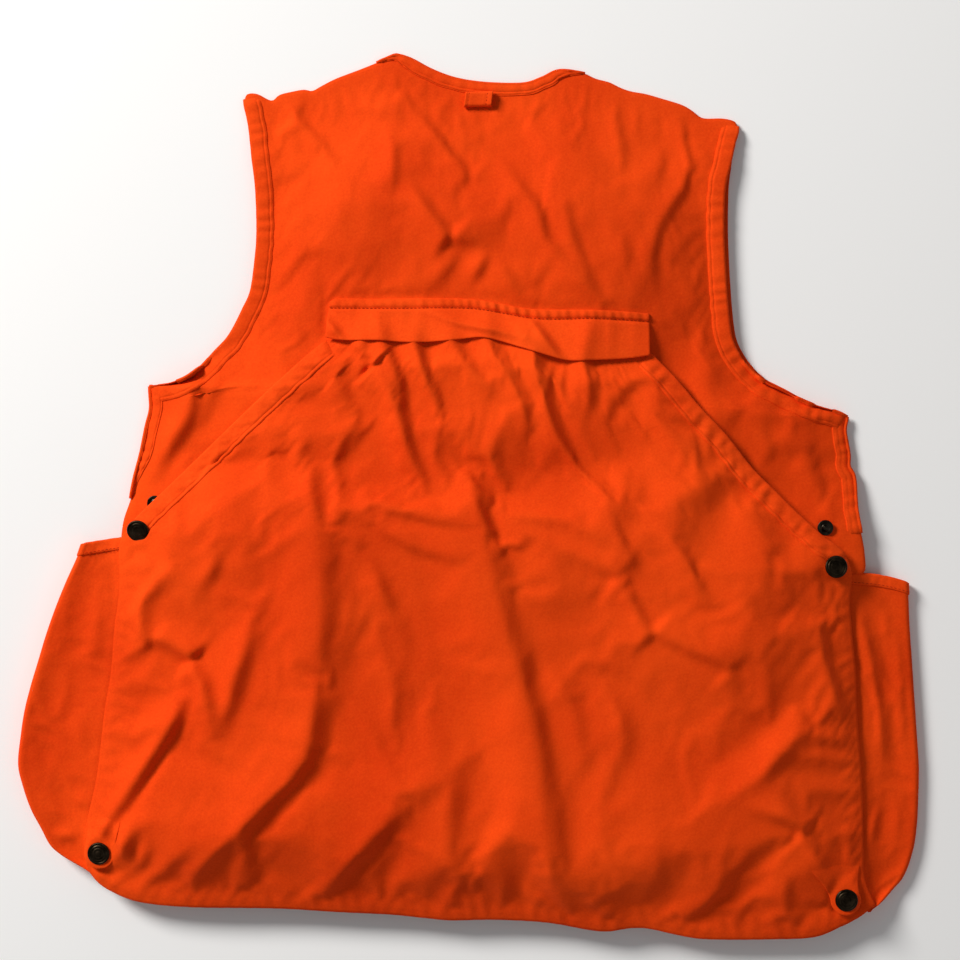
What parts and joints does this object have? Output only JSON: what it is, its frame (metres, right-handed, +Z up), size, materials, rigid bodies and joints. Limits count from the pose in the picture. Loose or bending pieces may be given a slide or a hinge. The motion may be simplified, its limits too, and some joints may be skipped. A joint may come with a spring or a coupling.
{
  "type": "game vest",
  "caption": "Sleeveless blaze orange field vest with a rear game pouch, pouch flap, side pockets and snaps, lying face down.",
  "frame": {"origin": "bottom centre of the bounding box, on the surface that the vest lies on, face down", "axes": "+X to the wearer's right, +Y from the hem to the neck, +Z up out of the back panel"},
  "size_m": [0.7098, 0.6918, 0.0435],
  "materials": {
    "orange_duck": "matt woven cotton duck",
    "pouch_lining": "smooth coated lining cloth",
    "zip_tape": "herringbone woven tape",
    "zip_teeth": "moulded",
    "zip_metal": "antique plated",
    "snap_brass": "antique, oxidised nearly black"
  },
  "bodies": {
    "vest": {"back_panel": "orange_duck", "front_panel_left": "orange_duck", "front_panel_right": "orange_duck", "neck_facing": "orange_duck", "armhole_facing_left": "orange_duck", "armhole_facing_right": "orange_duck", "side_seam_left": "orange_duck", "side_seam_right": "orange_duck", "pouch_panel": "orange_duck", "flap_band": "orange_duck", "pocket_left": "orange_duck", "pocket_right": "orange_duck", "pocket_hem_left": "orange_duck", "pocket_hem_right": "orange_duck", "pouch_lining": "pouch_lining", "upper_stud_left": "snap_brass", "upper_post_left": "snap_brass", "lower_stud_left": "snap_brass", "lower_post_left": "snap_brass", "zip_tape_left": "zip_tape", "zip_chain_left": "zip_teeth", "zip_stop_left": "zip_metal", "upper_stud_right": "snap_brass", "upper_post_right": "snap_brass", "lower_stud_right": "snap_brass", "lower_post_right": "snap_brass", "zip_tape_right": "zip_tape", "zip_chain_right": "zip_teeth", "zip_stop_right": "zip_metal", "zip_box": "zip_metal"},
    "flap": {"pouch_flap": "orange_duck"},
    "loop": {"hanger_loop": "orange_duck"},
    "mouth": {"pouch_mouth": "orange_duck", "pouch_hem_left": "orange_duck", "pouch_hem_right": "orange_duck", "upper_cap_left": "snap_brass", "upper_cap_right": "snap_brass", "upper_socket_left": "snap_brass", "upper_socket_right": "snap_brass"},
    "corner_left": {"pouch_corner_left": "orange_duck", "lower_cap_left": "snap_brass", "lower_socket_left": "snap_brass"},
    "corner_right": {"pouch_corner_right": "orange_duck", "lower_cap_right": "snap_brass", "lower_socket_right": "snap_brass"},
    "slider": {"zip_slider": "zip_metal"},
    "pull": {"zip_pull": "zip_metal"}
  },
  "joints": [
    {"name": "flap_lift", "type": "hinge", "parent": "vest", "child": "flap", "pos_m": [0.016, 0.13925, 0.0265], "axis": [-0.9993, 0.038, 0], "range_deg": [0, 150]},
    {"name": "hanger_loop_swing", "type": "hinge", "parent": "vest", "child": "loop", "pos_m": [0.008, 0.3135, 0.0126], "axis": [-1, 0, 0], "range_deg": [0, 150]},
    {"name": "pouch_mouth_open", "type": "hinge", "parent": "vest", "child": "mouth", "pos_m": [0.0125, -0.0594, 0.0431], "axis": [0.9988, -0.049, 0], "range_deg": [0, 25]},
    {"name": "corner_left_peel", "type": "hinge", "parent": "vest", "child": "corner_left", "pos_m": [-0.287, -0.253, 0.02494], "axis": [-1, 0, 0], "range_deg": [0, 40]},
    {"name": "corner_right_peel", "type": "hinge", "parent": "vest", "child": "corner_right", "pos_m": [0.294, -0.289, 0.0259], "axis": [-1, 0, 0], "range_deg": [0, 40]},
    {"name": "zip_slider_travel", "type": "slide", "parent": "vest", "child": "slider", "axis": [0, 1, 0], "range_m": [-0.42, 0]},
    {"name": "zip_pull_swing", "type": "hinge", "parent": "slider", "child": "pull", "pos_m": [0.018, 0.1408, 0.00755], "axis": [1, 0, 0], "range_deg": [0, 150]}
  ]
}
